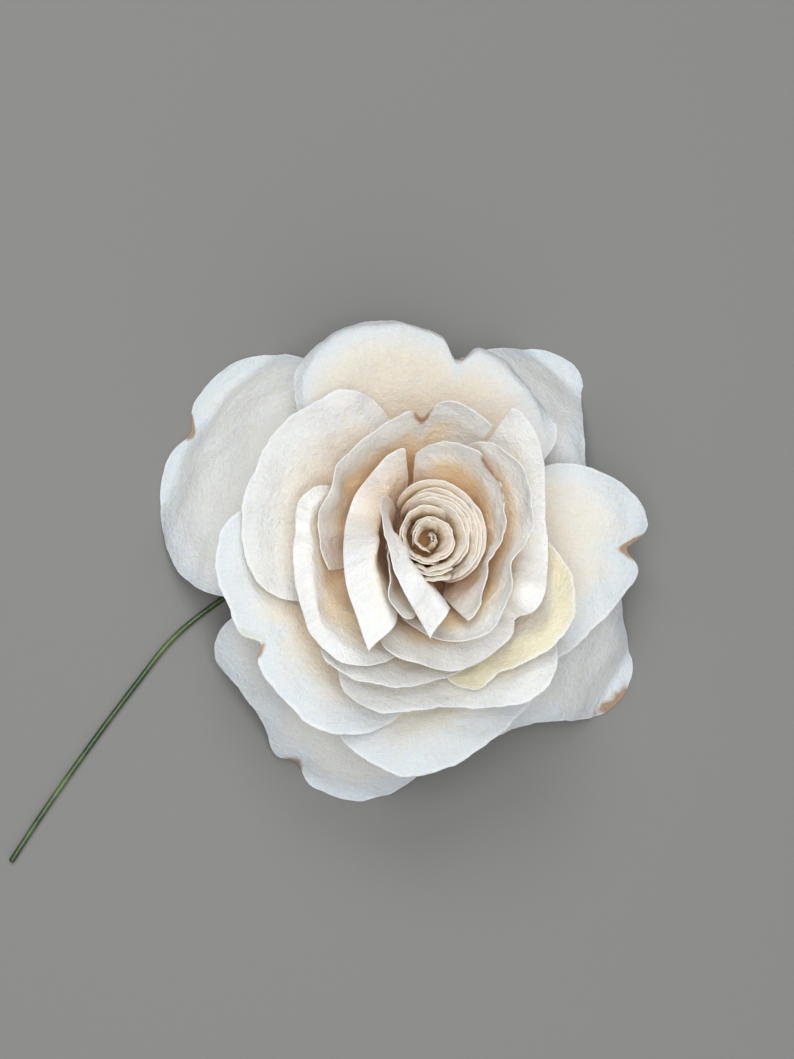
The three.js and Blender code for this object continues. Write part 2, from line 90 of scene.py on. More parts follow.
PETALS = {
    "guard_petal_left": dict(
        turn=152, span=44, seat=0.0, level=0.0, rim=(44, 50, 58, 59, 56, 54, 49, 45, 42),
        notch=((-0.06, 5, 0.09),), stains=((-0.06, 0, 2.2, 1.0), (-0.12, 0, 1.5, 0.8)), warm=0.08),
    "guard_petal_lower_right": dict(
        turn=-36, span=40, seat=0.02, level=0.01, rim=(38, 38, 37, 42, 55, 57, 46, 40, 38),
        stains=((0.12, 0, 5.0, 0.75), (0.0, 1, 3.0, 0.5)), warm=0.05),
    "guard_petal_upper_right": dict(
        turn=47, span=38, seat=0.04, level=0.02, rim=(33, 35, 37, 43, 60, 57, 46, 40, 34), warm=0.05),
    "guard_petal_bottom": dict(
        turn=240, span=42, seat=0.06, level=0.02, lift=(-6,), rim=(44, 44, 41, 42, 50, 53, 53, 47, 40),
        notch=((0.05, 4, 0.08),), stains=((0.05, 0, 2.6, 1.0), (-0.3, 0, 2.0, 0.5)), warm=0.15),
    "outer_petal_right": dict(
        turn=-6, span=42, seat=0.12, level=0.15, rim=(32, 33, 34, 37, 42, 45, 43, 38, 34),
        notch=((0.17, 5, 0.08),), stains=((0.17, 0, 2.4, 1.0), (0.22, 0, 1.6, 0.9)), warm=0.25),
    "outer_petal_top": dict(
        turn=84, span=50, seat=0.17, level=0.21, rim=(42, 40, 41, 43, 45, 46.5, 47, 45.5, 43),
        notch=((-0.13, 5, 0.06),), curl=(0, 60, 60, 60, 60, 60, 20), roll=5.5, fold=0.455,
        stains=((-0.16, 0, 2.2, 1.0),), greens=((-0.08, 0, 2.2, 0.8),), warm=0.4),
    "outer_petal_bottom": dict(
        turn=280, span=50, seat=0.21, level=0.25, rim=(36, 38, 41, 43, 41, 38, 36, 35, 35), warm=0.3),
    "outer_petal_lower_left": dict(
        turn=214, span=56, seat=0.265, level=0.31, rim=(34, 39, 40, 39, 39, 40, 41, 39, 38),
        notch=((-0.04, 3, 0.05),), stains=((0.0, 0, 1.8, 0.8),), greens=((-0.1, 0, 3.2, 0.8),), warm=0.5),
    "middle_petal_upper_left": dict(
        turn=154, span=54, seat=0.315, level=0.37, rim=(32, 36, 36, 37, 37, 37, 36, 36, 36), warm=0.3),
    "middle_petal_bottom": dict(
        turn=280, span=50, seat=0.365, level=0.42, rim=(38, 38, 38, 36, 35, 38, 41, 41, 41),
        claw=0.28, warm=0.6),
    "middle_petal_yellow": dict(
        turn=-38, span=48, seat=0.425, level=0.465, rim=(37, 37, 35, 36, 38, 38, 35, 32, 32),
        claw=0.28, warm=0.5),
    "middle_petal_lower": dict(
        turn=262, span=45, seat=0.475, level=0.505, rim=(42, 42, 40, 39, 37, 35, 33, 33, 33),
        claw=0.28, warm=0.5),
    "inner_petal_left": dict(
        turn=205, span=58, seat=0.53, level=0.54, rim=(37, 36, 33.5, 34.5, 37, 40.5, 41, 38, 35),
        curl=(0, 50, 65, 70, 45, 20, 0), roll=4.5, fold=0.444, claw=0.28, warm=0.6),
    "inner_petal_top": dict(
        turn=129.5, span=68.5, seat=0.58, level=0.57, rim=(40, 41, 38, 35, 34, 33, 31, 29.5, 31),
        notch=((-0.535, 4, 0.06),), corner=(0.95, 0.9), claw=0.3, stains=((-0.52, 0, 2.6, 1.0),),
        warm=0.7),
    "inner_petal_right": dict(
        turn=-28.5, span=87, seat=0.62, level=0.6, rim=(42, 39, 37, 35, 36.5, 33, 33, 39.5, 46),
        side=(-0.03, -0.03, -0.02, 0, -0.02, -0.05, -0.09), notch=((-0.14, 4, 0.05),),
        curl=(0, 20, 40, 45, 45, 45, 40, 20, 0), roll=8, fold=0.375, corner=(0.8, 0.9), claw=0.3,
        stains=((-0.14, 0, 1.5, 0.5),), warm=0.65),
    "inner_wrap_outer": dict(
        turn=-19, span=91, seat=0.7, level=0.675, rim=(38, 39, 41, 39, 35.5, 38, 41, 43, 46),
        side=(-0.07, -0.07, -0.03, 0, -0.02, -0.06, -0.09), claw=0.3, warm=0.8),
    "inner_wrap_brown_edge": dict(
        turn=15, span=86, seat=0.78, level=0.75, rim=(41, 35, 33, 36, 37.5, 39, 41, 41, 38),
        side=(-0.11, -0.03, 0.01, -0.005, -0.06, -0.1, -0.13), corner=(0.9, 0.8), claw=0.3,
        stains=((0.47, 0, 1.8, 1.0), (0.38, 0.2, 1.1, 0.9), (0.3, 0, 0.9, 0.8), (0.21, 0, 0.8, 0.8),
                (0.12, 0, 0.8, 0.7)),
        warm=0.85),
    "curled_petal_large": dict(
        turn=176, span=71, start=8, level=0.79, rim=(33.5, 30.5, 27.5, 29.5, 34.5, 39.5, 42, 43, 45),
        side=(-0.2, -0.13, -0.015, 0.06, 0.05, 0.005, -0.055, -0.105, -0.185),
        curl=(0, 25, 65, 96, 100, 97, 90, 81, 68), roll=8, fold=0.375, lift=(-10, -3, 1, 0, -3),
        skew=(0, 0, 0, 0, -6), corner=(0.9, 1), claw=0.6, warm=0.5, ripple=0.45),
    "tongue_petal": dict(
        turn=221, span=37, start=8, seat=0.847, level=0.82, rim=(31, 32, 34, 38, 42),
        side=(0.05, 0.025, -0.05, -0.12, -0.15), lift=(0, 0, -3, -8, -10), corner=(0.5, 0.75), claw=0.6,
        warm=0.9, ripple=0.5),
    "curled_petal_small": dict(
        turn=206, span=74, start=8, level=0.885, rim=(29, 34.2, 35.9, 36.5, 37.5, 38, 39.5, 42.5, 47),
        side=(-0.235, -0.137, -0.031, 0.033, 0.046, 0.02, -0.035, -0.118, -0.228),
        curl=(0, 12, 22, 38, 46, 56, 72, 87, 90), roll=6.5, fold=0.385, lift=(-8, -1, 1, 0.5, -2.5),
        skew=(0, 0, 0, -4, -14), corner=(0.8, 1), claw=0.6, warm=0.6, ripple=0.45),
}

# turn, span, level and rim of the heart's petals: thirteen from outside in, three short ones at the
# lower side and two small curls, and what else some of them have
HEART = (
    (32, 98, 0.825, 31), (2, 72, 0.841, 30.3), (28, 92, 0.857, 30), (58, 78, 0.875, 29.3),
    (33, 96, 0.892, 29.2), (10, 84, 0.909, 28.5), (140, 105, 0.925, 28), (215, 92, 0.938, 27.5),
    (277.5, 105, 0.95, 27.2), (340, 92, 0.963, 26.8), (55, 105, 0.975, 26.4), (120, 92, 0.988, 26),
    (192.5, 105, 1.0, 25.6), (276, 26, 0.862, 32), (277, 37, 0.889, 30.5), (281, 49, 0.909, 29.2),
    (-20, 75, 1.0, 24.6), (15, 60, 1.0, 23.8),
)
HEART_MORE = {
    0: dict(side=(-0.02, 0, 0, -0.015, -0.045)), 2: dict(side=(-0.02, 0, 0, -0.015, -0.04)),
    3: dict(side=(0, 0, 0, -0.01, -0.03)), 4: dict(side=(-0.02, 0, 0, -0.01, -0.03)),
    16: dict(curl=(-14,), roll=6), 17: dict(curl=(-24,), roll=7),
}
HEART_PLAIN = dict(warm=0.9, thin=0.7, ripple=0.25, curl=(26,), roll=4.5)
# grid lines across and up a heart petal, with fewer across one whose span is short
HEART_GRID = (80, 30)
SHORT_SPAN, SHORT_GRID = 50, (40, 30)
# how many times faster than on a big petal the heart's colours turn warm behind a rim, partly
# the heart's own peach and partly painted warm shade in its tight folds
HEART_TONE_AND_SHADE_WARMING = 2.6
# the core's lower and upper bowls, how far up each it goes, the level between their petals, and how
# many mm behind a rim the core's colours are, which gives it the heart's own peach mixed with the
# painted warm shade of a place far down between the petals
CORE_LEVELS = (0.82, 0.93)
CORE_TOPS = (7.6, 16.0)
CORE_SPLIT = 0.91
CORE_DEPTH = 9.0
# start and claw of the petals that grow from the core's lower and from its upper bowl
CORE_ROOTS = ((6.5, 0.6), (14.0, 0.8))

# mm from the seat over which level, side and lift, and claw come in, and from the rim for skew
LEVEL_EASE, SIDE_EASE, CLAW_EASE, SKEW_EASE = 25.0, 30.0, 22.0, 8.0
# share of the roll that is left where a rounded corner has no length
CORNER_ROLL = 0.3
# share of the even grid that is crowded towards the side edges, fine steps at the grid's sides and
# ends, and rows below the start of a petal that begins part of the way up
CROWDING = 0.3
SIDE_STEPS, END_STEPS = (0.0012, 0.004, 0.009), (0.0012, 0.0035, 0.008)
LEAD_ROWS = 7
DENTS, CREASES = 9, 14
# radii at which an arc is measured for the creases and for the petal map, and mm a unit of the map
CREASE_RADIUS, MAP_RADIUS, MAP_UNIT = 24.0, 28.0, 100.0
# share of the thickness over which an edge is rounded, and how much and how far in a rim is thinner
EDGE_ROUND, RIM_THINNING, RIM_THIN = 0.6, 0.35, 4.0
# mm to either side of the floor over which a petal eases on to it, and the least gap under a petal
FLOOR_EASE, FLOOR_GAP = 2.0, 0.02

# Curves, worked out on whole arrays


def ease(x):
    """0 below 0, 1 above 1, and 3x^2 - 2x^3 between."""
    x = np.clip(x, 0, 1)
    return x * x * (3 - 2 * x)


def smooth(a, b, c, d, t):
    """Catmull-Rom cubic from b to c as t runs from 0 to 1, with a before and d after them."""
    return 0.5 * (2 * b + (c - a) * t + (2 * a - 5 * b + 4 * c - d) * t**2 + (3 * b - a - 3 * c + d) * t**3)


def spline(values, x):
    """Catmull-Rom curve through values at x = 0, 1, 2 and on, its ends carried on straight."""
    v = np.asarray(values, float)
    last = len(v) - 1
    x = np.clip(x, 0, last)
    i = np.minimum(x.astype(int), last - 1)
    v = np.concatenate([2 * v[:1] - v[1:2], v, 2 * v[-1:] - v[-2:-1]])
    return smooth(v[i], v[i + 1], v[i + 2], v[i + 3], x - i)


def across(values, u):
    """A petal's value at u, -1 at its clockwise side edge and 1 at the other."""
    return values[0] + 0 * u if len(values) == 1 else spline(values, (u + 1) / 2 * (len(values) - 1))


def nest_slope(level, s):
    """Slope in degrees of the bowl of this level, s mm from its seat: splines over level, then over s."""
    row = np.clip(level, 0, 1) * (len(NEST_SLOPES) - 1)
    v = [spline(column, row) for column in NEST_SLOPES.T]
    v = np.stack([2 * v[0] - v[1], *v, 2 * v[-1] - v[-2]])
    last = len(v) - 3
    x = np.clip(s / NEST_STEP, 0, last)
    i = np.minimum(x.astype(int), last - 1)
    a, b, c, d = (np.take_along_axis(v, (i + k)[None], 0)[0] for k in range(4))
    return smooth(a, b, c, d, x - i)


def seat_at(level):
    """Radius and height at which the bowl of this level starts, on a straight line between the seats."""
    outer, inner = np.array(SEAT_OUTER), np.array(SEAT_INNER)
    return outer + (inner - outer) * level


def on_floor(height, half):
    """Height that eases on to the floor along a parabola, staying half a thickness above it."""
    above = height - half
    eased = np.where(above < -FLOOR_EASE, 0, (above + FLOOR_EASE) ** 2 / (4 * FLOOR_EASE))
    return np.where(above > FLOOR_EASE, height, half + eased)


def seeded(name):
    """Random numbers that are a piece's own: its seed is the sum of its letters times their places."""
    return np.random.default_rng(sum((i + 1) * ord(c) for i, c in enumerate(name)))


def waves(u, rng, counts, size):
    """Sum of a sine of u for each count, of random phase and a size that falls as count^-0.7."""
    return size * sum(np.sin(np.pi * n * u + rng.uniform(0, 2 * np.pi)) * (counts[0] / n) ** 0.7
                      for n in counts)


def edge_marks(count, steps):
    """0 to 1 in count even steps, with the given small steps set in at both ends."""
    inner = np.linspace(0, 1, count)[1:-1]
    steps = np.asarray(steps, float)
    inner = inner[(inner > steps[-1] * 1.5) & (inner < 1 - steps[-1] * 1.5)]
    return np.concatenate([[0], steps, inner, 1 - steps[::-1], [1]])


# Petals


def petal_surface(values, rng, settings, columns, rows):
    """Middle surface of a petal on a grid of u across (-1 to 1) and q from base to rim (0 to 1).

    A point s mm from the seat lies where a line ends that climbs for s mm at its bowl's slope;
    the bowl's level changes from seat to level and, by side, across the petal. The rim's length is
    rim, rounded off to corner at the side edges, less a bell-shaped dip at each notch. Over the last
    roll mm the slope falls by curl degrees within the first fold share of them, which rolls the rim
    outwards, and skew turns the roll sideways; lift adds to the slope. The point's angle round the
    axis is turn + span times u, and the span is times claw at the base.
    """
    p = {**PLAIN, **values}
    p.setdefault("seat", p["level"])
    u = 2 * edge_marks(columns, SIDE_STEPS) - 1
    u = CROWDING * np.sin(np.pi / 2 * u) + (1 - CROWDING) * u
    q = edge_marks(rows, END_STEPS)
    U, Q = np.meshgrid(u, q)
    inside = np.sqrt(np.maximum(0, 1 - np.abs(U) ** 5))
    corner = np.where(U < 0, *p["corner"])
    rounding = corner + (1 - corner) * inside
    rim = rounding * across(p["rim"], U)
    for at, depth, width in p["notch"]:
        rim = rim - depth * np.exp(-(((U - at) / width) ** 2))
    rim = rim + p["ripple"] * settings.raggedness / MM * waves(U, rng, (7, 13, 23, 41), 1.0)
    S = p["start"] + Q * (rim - p["start"])
    lead = LEAD_ROWS if p["start"] else 0
    before = np.linspace(0, 1, LEAD_ROWS + 1)[:lead, None] * p["start"]
    S = np.concatenate([before + 0 * S[:1], S])
    wide, rim, rounding = (np.concatenate([np.repeat(a[:1], lead, 0), a]) for a in (U, rim, rounding))
    level = p["seat"] + (p["level"] - p["seat"]) * ease(S / LEVEL_EASE)
    level = level + across(p["side"], wide) * ease(S / SIDE_EASE)
    roll = p["roll"] * (CORNER_ROLL + (1 - CORNER_ROLL) * rounding)
    slope = nest_slope(level, S) + across(p["lift"], wide) * ease(S / SIDE_EASE)
    slope = slope - across(p["curl"], wide) * rounding * ease((S - rim + roll) / (roll * p["fold"]))
    slope = np.radians(slope)
    ds = np.diff(S, axis=0)

    def climbed(rate):
        """Running sum of a rate over s, by the mean of neighbouring rows."""
        return np.concatenate([0 * rate[:1], np.cumsum((rate[1:] + rate[:-1]) / 2 * ds, 0)])

    seat = seat_at(p["seat"])
    radius, height = seat[0] + climbed(np.cos(slope)), seat[1] + climbed(np.sin(slope))
    angle = p["turn"] + p["span"] * wide * (p["claw"] + (1 - p["claw"]) * ease(S / CLAW_EASE))
    angle = np.radians(angle + across(p["skew"], wide) * ease((S - rim + SKEW_EASE) / SKEW_EASE))
    radius, height, angle, S, rim = (a[lead:] for a in (radius, height, angle, S, rim))
    half = settings.thickness * p["thin"] / MM / 2
    points = np.stack([radius * np.cos(angle), radius * np.sin(angle), on_floor(height, half)], -1)
    return p, points, U, S, rim, radius


def surface_normals(points):
    """Unit normals of a grid of points: the cross product of its two gradients."""
    along = np.gradient(points, axis=0)
    over = np.gradient(points, axis=1)
    normals = np.cross(along, over)
    return normals / np.maximum(1e-12, np.linalg.norm(normals, axis=-1, keepdims=True))


def crumple(p, points, U, S, rim, rng, settings):
    """Moves the surface along its normals: waves that grow towards the rim, shallow dents that are
    bell shapes at random places, creases where the size of a slanting bent sine wave has its sharp
    turns, and fine ribs that fan out from the base."""
    length = rim.mean()
    rise = ease((S / rim - 0.45) / 0.55)
    height = rise * waves(U + 0.12 * S / length, rng, (2, 3, 5), 0.5)
    for _ in range(DENTS):
        at_u, at_s = rng.uniform(-0.85, 0.85), rng.uniform(0.35, 0.95) * length
        size = rng.uniform(0.1, 0.22)
        far = ((U - at_u) / size) ** 2 + ((S - at_s) / (size * length * 0.8)) ** 2
        height = height + rng.uniform(-0.8, 0.8) * np.exp(-far)
    arc = U * np.radians(p["span"]) * CREASE_RADIUS
    for _ in range(CREASES):
        way, wave = rng.uniform(0, np.pi), rng.uniform(5, 15)
        phase = (arc * np.cos(way) + S * np.sin(way)) * 2 * np.pi / wave + rng.uniform(0, 6)
        bend = 1.2 * np.sin(arc / rng.uniform(5, 12) + rng.uniform(0, 6)) + np.sin(S / rng.uniform(5, 12))
        height = height + 0.02 * wave * (0.5 - np.abs(np.sin(phase / 2 + bend))) * ease(S / length / 0.6)
    fan = U * (1 + 0.15 * np.sin(S / length * 3 + rng.uniform(0, 6)))
    height = height + 0.012 * waves(fan, rng, (17, 29, 43), 1.0) * ease(S / length / 0.3)
    height = height * ease(S / length / 0.4) * settings.crumple * p["ripple"]
    points = points + surface_normals(points) * height[..., None]
    half = settings.thickness * p["thin"] / MM / 2
    return np.concatenate([points[..., :2], np.maximum(points[..., 2:], half + FLOOR_GAP)], -1)


def petal_shell(values, name, settings, grid):
    """Closed shell of a petal: its middle surface moved half a thickness each way along the normals,
    the thickness falling as a quarter circle over the last part of a millimetre at every edge."""
    rng = seeded(name)
    p, points, U, S, rim, radius = petal_surface(values, rng, settings, *grid)
    points = crumple(p, points, U, S, rim, rng, settings)
    thickness = settings.thickness / MM * p["thin"]
    rise = np.linalg.norm(np.diff(points, axis=1), axis=-1)
    from_left = np.concatenate([0 * rise[:, :1], np.cumsum(rise, 1)], 1)
    side = np.minimum(from_left, from_left[:, -1:] - from_left)
    gap = np.maximum(rim - S, 0)
    edge = np.minimum(np.minimum(side, gap), S - p["start"])
    near = np.clip(edge / (EDGE_ROUND * thickness), 0, 1)
    half = thickness / 2 * np.sqrt(np.maximum(0, 1 - (1 - near) ** 2))
    half = half * (1 - RIM_THINNING * ease(1 - edge / RIM_THIN))
    verts, faces, keep = closed_shell(points, surface_normals(points) * half[..., None])
    turn = np.radians(p["span"])

    def stained(spots):
        """Sum of a bell shape of the distance over the petal from each spot."""
        return sum((k * np.exp(-(((U - a) * turn * radius) ** 2 + (gap - g) ** 2) / r**2)
                    for a, g, r, k in spots), 0 * U)

    marks = {
        "rim_gap": np.minimum(side, gap), "along": S / rim.max(), "browning": stained(p["stains"]),
        "greening": stained(p["greens"]), "warmth": p["warm"] + 0 * U,
        "uv_x": U * turn * MAP_RADIUS / MAP_UNIT, "uv_y": S / MAP_UNIT,
    }
    return verts, faces, {k: keep(v) for k, v in marks.items()}


def closed_shell(points, offset):
    """Vertices and quads of the closed shell between points + offset and points - offset, whose two
    faces share the grid's border. keep spreads a value on the grid over the vertices."""
    rows, columns = points.shape[:2]
    count = rows * columns
    index = np.arange(count).reshape(rows, columns)
    under = index.copy()
    under[1:-1, 1:-1] = count + np.arange((rows - 2) * (columns - 2)).reshape(rows - 2, columns - 2)
    border = np.ones((rows, columns), bool)
    border[1:-1, 1:-1] = False
    top = np.where(border[..., None], points, points + offset)
    verts = np.concatenate([top.reshape(-1, 3), (points - offset)[1:-1, 1:-1].reshape(-1, 3)])

    def quads(k):
        """The four corners of every cell of a grid of vertex numbers."""
        return np.stack([k[:-1, :-1], k[1:, :-1], k[1:, 1:], k[:-1, 1:]], -1).reshape(-1, 4)

    faces = np.concatenate([quads(index), quads(under)[:, ::-1]]).tolist()

    def keep(value):
        """Values on the grid, and again for the under side's own points."""
        return np.concatenate([value.ravel(), value[1:-1, 1:-1].ravel()])

    return verts, faces, keep


def ring_faces(rings, sides):
    """Quads between neighbouring rings of sides points each, and triangles from the first and the last
    ring to one more point each, which follow the rings in the list of vertices."""
    index = np.arange(rings * sides).reshape(rings, sides)
    after = np.roll(index, -1, 1)
    quads = np.stack([index[:-1], after[:-1], after[1:], index[1:]], -1).reshape(-1, 4)
    low = np.stack([after[0], index[0], np.full(sides, rings * sides)], -1)
    high = np.stack([index[-1], after[-1], np.full(sides, rings * sides + 1)], -1)
    return [*quads.tolist(), *low.tolist(), *high.tolist()]


def turned(profile, segments):
    """Closed solid of revolution: the profile's radius and height turned round the axis, its two ends
    drawn in to a point. Rows are the profile's points and columns the angles."""
    profile = np.asarray(profile, float)
    angle = np.linspace(0, 2 * np.pi, segments, endpoint=False)
    ring = np.stack([np.cos(angle), np.sin(angle), 0 * angle], -1)
    verts = profile[1:-1, :1, None] * ring + profile[1:-1, 1:, None] * np.array([0, 0, 1.0])
    poles = np.array([[0, 0, profile[0, 1]], [0, 0, profile[-1, 1]]])
    return np.concatenate([verts.reshape(-1, 3), poles]), ring_faces(len(verts), segments)


def swept(path, radius, sides, reference):
    """Closed tube: a circle of the given radius (one for each path point) carried along the path, its
    start turned away from a fixed reference direction, with both ends drawn in to a point."""
    tangent = np.gradient(path, axis=0)
    tangent /= np.linalg.norm(tangent, axis=1, keepdims=True)
    side = np.cross(tangent, reference)
    side /= np.linalg.norm(side, axis=1, keepdims=True)
    other = np.cross(tangent, side)
    angle = np.linspace(0, 2 * np.pi, sides, endpoint=False)[None, :, None]
    ring = np.cos(angle) * side[:, None] + np.sin(angle) * other[:, None]
    verts = path[:, None] + radius[:, None, None] * ring
    return np.concatenate([verts.reshape(-1, 3), path[[0, -1]]]), ring_faces(len(path), sides)


def joined(shells):
    """One list of vertices, faces and values from several shells."""
    verts, faces, marks, base = [], [], {}, 0
    for v, f, m in shells:
        verts.append(v)
        faces += [[i + base for i in face] for face in f]
        for key, value in m.items():
            marks.setdefault(key, []).append(value)
        base += len(v)
    return np.concatenate(verts), faces, {k: np.concatenate(v) for k, v in marks.items()}


def blender_mesh(name, verts, faces, marks, material, slot, node):
    """A smooth mesh object from arrays in millimetres round the flower's axis, standing for a CAD node.
    marks become attributes of its points, and uv_x and uv_y its petal map."""
    mesh = bpy.data.meshes.new(name)
    verts = (verts + AXIS) * MM
    verts[:, 2] = np.maximum(verts[:, 2], FLOOR_GAP * MM)
    mesh.from_pydata(verts.tolist(), [], faces)
    mesh.polygons.foreach_set("use_smooth", [True] * len(mesh.polygons))
    corner = np.zeros(len(mesh.loops), int)
    mesh.loops.foreach_get("vertex_index", corner)
    if "uv_x" in marks:
        uv = np.stack([marks["uv_x"], marks["uv_y"]], -1)[corner]
        mesh.uv_layers.new(name="petal_map").data.foreach_set("uv", uv.ravel())
    for key, value in marks.items():
        if not key.startswith("uv_"):
            layer = mesh.attributes.new(key, "FLOAT", "POINT")
            layer.data.foreach_set("value", np.asarray(value, np.float32))
    mesh.validate()
    mesh.update()
    mesh.materials.append(material)
    thing = bpy.data.objects.new(name, mesh)
    bpy.context.scene.collection.objects.link(thing)
    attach(thing, "root")
    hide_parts(node)


# Materials


def put(tree, kind, **values):
    """A node of this kind, its properties and named inputs set, placed in the tree."""
    node = tree.nodes.new(kind)
    for key, value in values.items():
        if hasattr(node, key):
            setattr(node, key, value)
        else:
            node.inputs[key].default_value = value
    return node


def feed(tree, value, socket):
    """Links a node's output to the socket, or sets a plain number or colour on it."""
    if hasattr(value, "node"):
        tree.links.new(value, socket)
    else:
        socket.default_value = value


def maths(tree, operation, a, b=0.0):
    """One sum of two values, each an output or a number."""
    node = put(tree, "ShaderNodeMath", operation=operation)
    feed(tree, a, node.inputs[0])
    feed(tree, b, node.inputs[1])
    return node.outputs[0]


def times(tree, *values):
    """Product of all the values."""
    product = values[0]
    for value in values[1:]:
        product = maths(tree, "MULTIPLY", product, value)
    return product


def layered(tree, ground, layers):
    """The ground colour with each layer's colour mixed over it in turn, by the layer's mask."""
    for mask, over in layers:
        node = put(tree, "ShaderNodeMix", data_type="RGBA")
        tree.links.new(mask, node.inputs[0])
        for value, socket in ((ground, node.inputs[6]), (over, node.inputs[7])):
            feed(tree, value if hasattr(value, "node") else (*value, 1.0), socket)
        ground = node.outputs[2]
    return ground


def attribute(tree, name):
    """The mesh's own value of this name."""
    return put(tree, "ShaderNodeAttribute", attribute_name=name).outputs["Fac"]


def ramp(tree, value, low, high):
    """0 at low and 1 at high, with an S-shaped rise between them."""
    node = put(tree, "ShaderNodeMapRange", interpolation_type="SMOOTHSTEP")
    tree.links.new(value, node.inputs[0])
    node.inputs[1].default_value, node.inputs[2].default_value = low, high
    return node.outputs[0]


def noise(tree, vector, scale, detail, roughness):
    """Cloudy noise, scale cells to a unit of the vector."""
    node = put(tree, "ShaderNodeTexNoise", Scale=scale, Detail=detail, Roughness=roughness)
    tree.links.new(vector, node.inputs["Vector"])
    return node.outputs[0]


def group(name, inputs, outputs, build):
    """A shader node group, made once, with a vector and these numbers going in and these coming out."""
    if name in bpy.data.node_groups:
        return bpy.data.node_groups[name]
    tree = bpy.data.node_groups.new(name, "ShaderNodeTree")
    tree.interface.new_socket("Vector", in_out="INPUT", socket_type="NodeSocketVector")
    for way, labels in (("INPUT", inputs), ("OUTPUT", outputs)):
        for label in labels:
            tree.interface.new_socket(label, in_out=way, socket_type="NodeSocketFloat")
    start, end = put(tree, "NodeGroupInput"), put(tree, "NodeGroupOutput")
    for label, socket in build(tree, start).items():
        tree.links.new(socket, end.inputs[label])
    return tree


def suede_grain():
    """Fine fibrous grain of a dried petal, small wrinkles, and blotches and soft mottling over it."""

    def build(tree, start):
        vector = start.outputs["Vector"]
        fine = noise(tree, vector, 2200.0, 2.0, 0.6)
        coarse = noise(tree, vector, 800.0, 3.0, 0.65)
        wrinkle = noise(tree, vector, 210.0, 3.0, 0.5)
        mottle = noise(tree, vector, 110.0, 5.0, 0.65)
        height = maths(tree, "ADD", times(tree, fine, 0.6), times(tree, coarse, 1.5))
        height = maths(tree, "ADD", height, times(tree, wrinkle, 1.6))
        return {"Height": height, "Grain": fine, "Blotch": coarse, "Mottle": mottle}

    return group("Suede grain", (), ("Height", "Grain", "Blotch", "Mottle"), build)


def petal_veins():
    """Faint veins that run from base to rim, as noise drawn out along the petal."""

    def build(tree, start):
        mapping = put(tree, "ShaderNodeMapping", Scale=(1.0, 0.09, 1.0))
        tree.links.new(start.outputs["Vector"], mapping.inputs["Vector"])
        lines = noise(tree, mapping.outputs[0], 95.0, 3.0, 0.6)
        ridge = maths(tree, "ABSOLUTE", maths(tree, "SUBTRACT", lines, 0.5))
        return {"Height": lines, "Line": ramp(tree, ridge, 0.06, 0.0)}

    return group("Petal veins", (), ("Height", "Line"), build)


def dry_margin():
    """Masks of the thin pale rim and of the brown and green stains, each broken up by noise."""

    def build(tree, start):
        ragged = noise(tree, start.outputs["Vector"], 420.0, 3.0, 0.6)
        shift = times(tree, maths(tree, "SUBTRACT", ragged, 0.5), 1.6)
        gap = maths(tree, "ADD", start.outputs["Gap"], shift)
        brown = maths(tree, "ADD", start.outputs["Brown"], times(tree, shift, 0.45))
        green = maths(tree, "ADD", start.outputs["Green"], times(tree, shift, 0.35))
        return {"Rim": ramp(tree, gap, 1.1, 0.1), "Brown": ramp(tree, brown, 0.3, 0.8),
                "Green": ramp(tree, green, 0.25, 0.95)}

    return group("Dry margin", ("Gap", "Brown", "Green"), ("Rim", "Brown", "Green"), build)


def new_material(name, finish):
    """A new material whose shader has the finish's plain values, its node tree and its shader."""
    material = bpy.data.materials.new(name)
    material.use_nodes = True
    shader = material.node_tree.nodes["Principled BSDF"]
    for label, value in finish.items():
        shader.inputs[label].default_value = value
    return material, material.node_tree, shader


def bumped(tree, shader, height, strength, distance):
    """Bends the shader's normal by a height, distance metres at most."""
    bump = put(tree, "ShaderNodeBump", Strength=strength, Distance=distance)
    tree.links.new(height, bump.inputs["Height"])
    tree.links.new(bump.outputs[0], shader.inputs["Normal"])


VEIN_COLOUR = (0.72, 0.62, 0.48)
SPECK_COLOUR = (1.0, 0.99, 0.97)
STEM_SHADE = (0.05, 0.07, 0.02)
PETAL_FINISH = {
    "Roughness": 0.72, "Specular IOR Level": 0.25, "Sheen Weight": 0.12, "Sheen Roughness": 0.5,
    "Subsurface Weight": 0.4, "Subsurface Radius": (1.0, 0.62, 0.36), "Subsurface Scale": 0.0022,
}


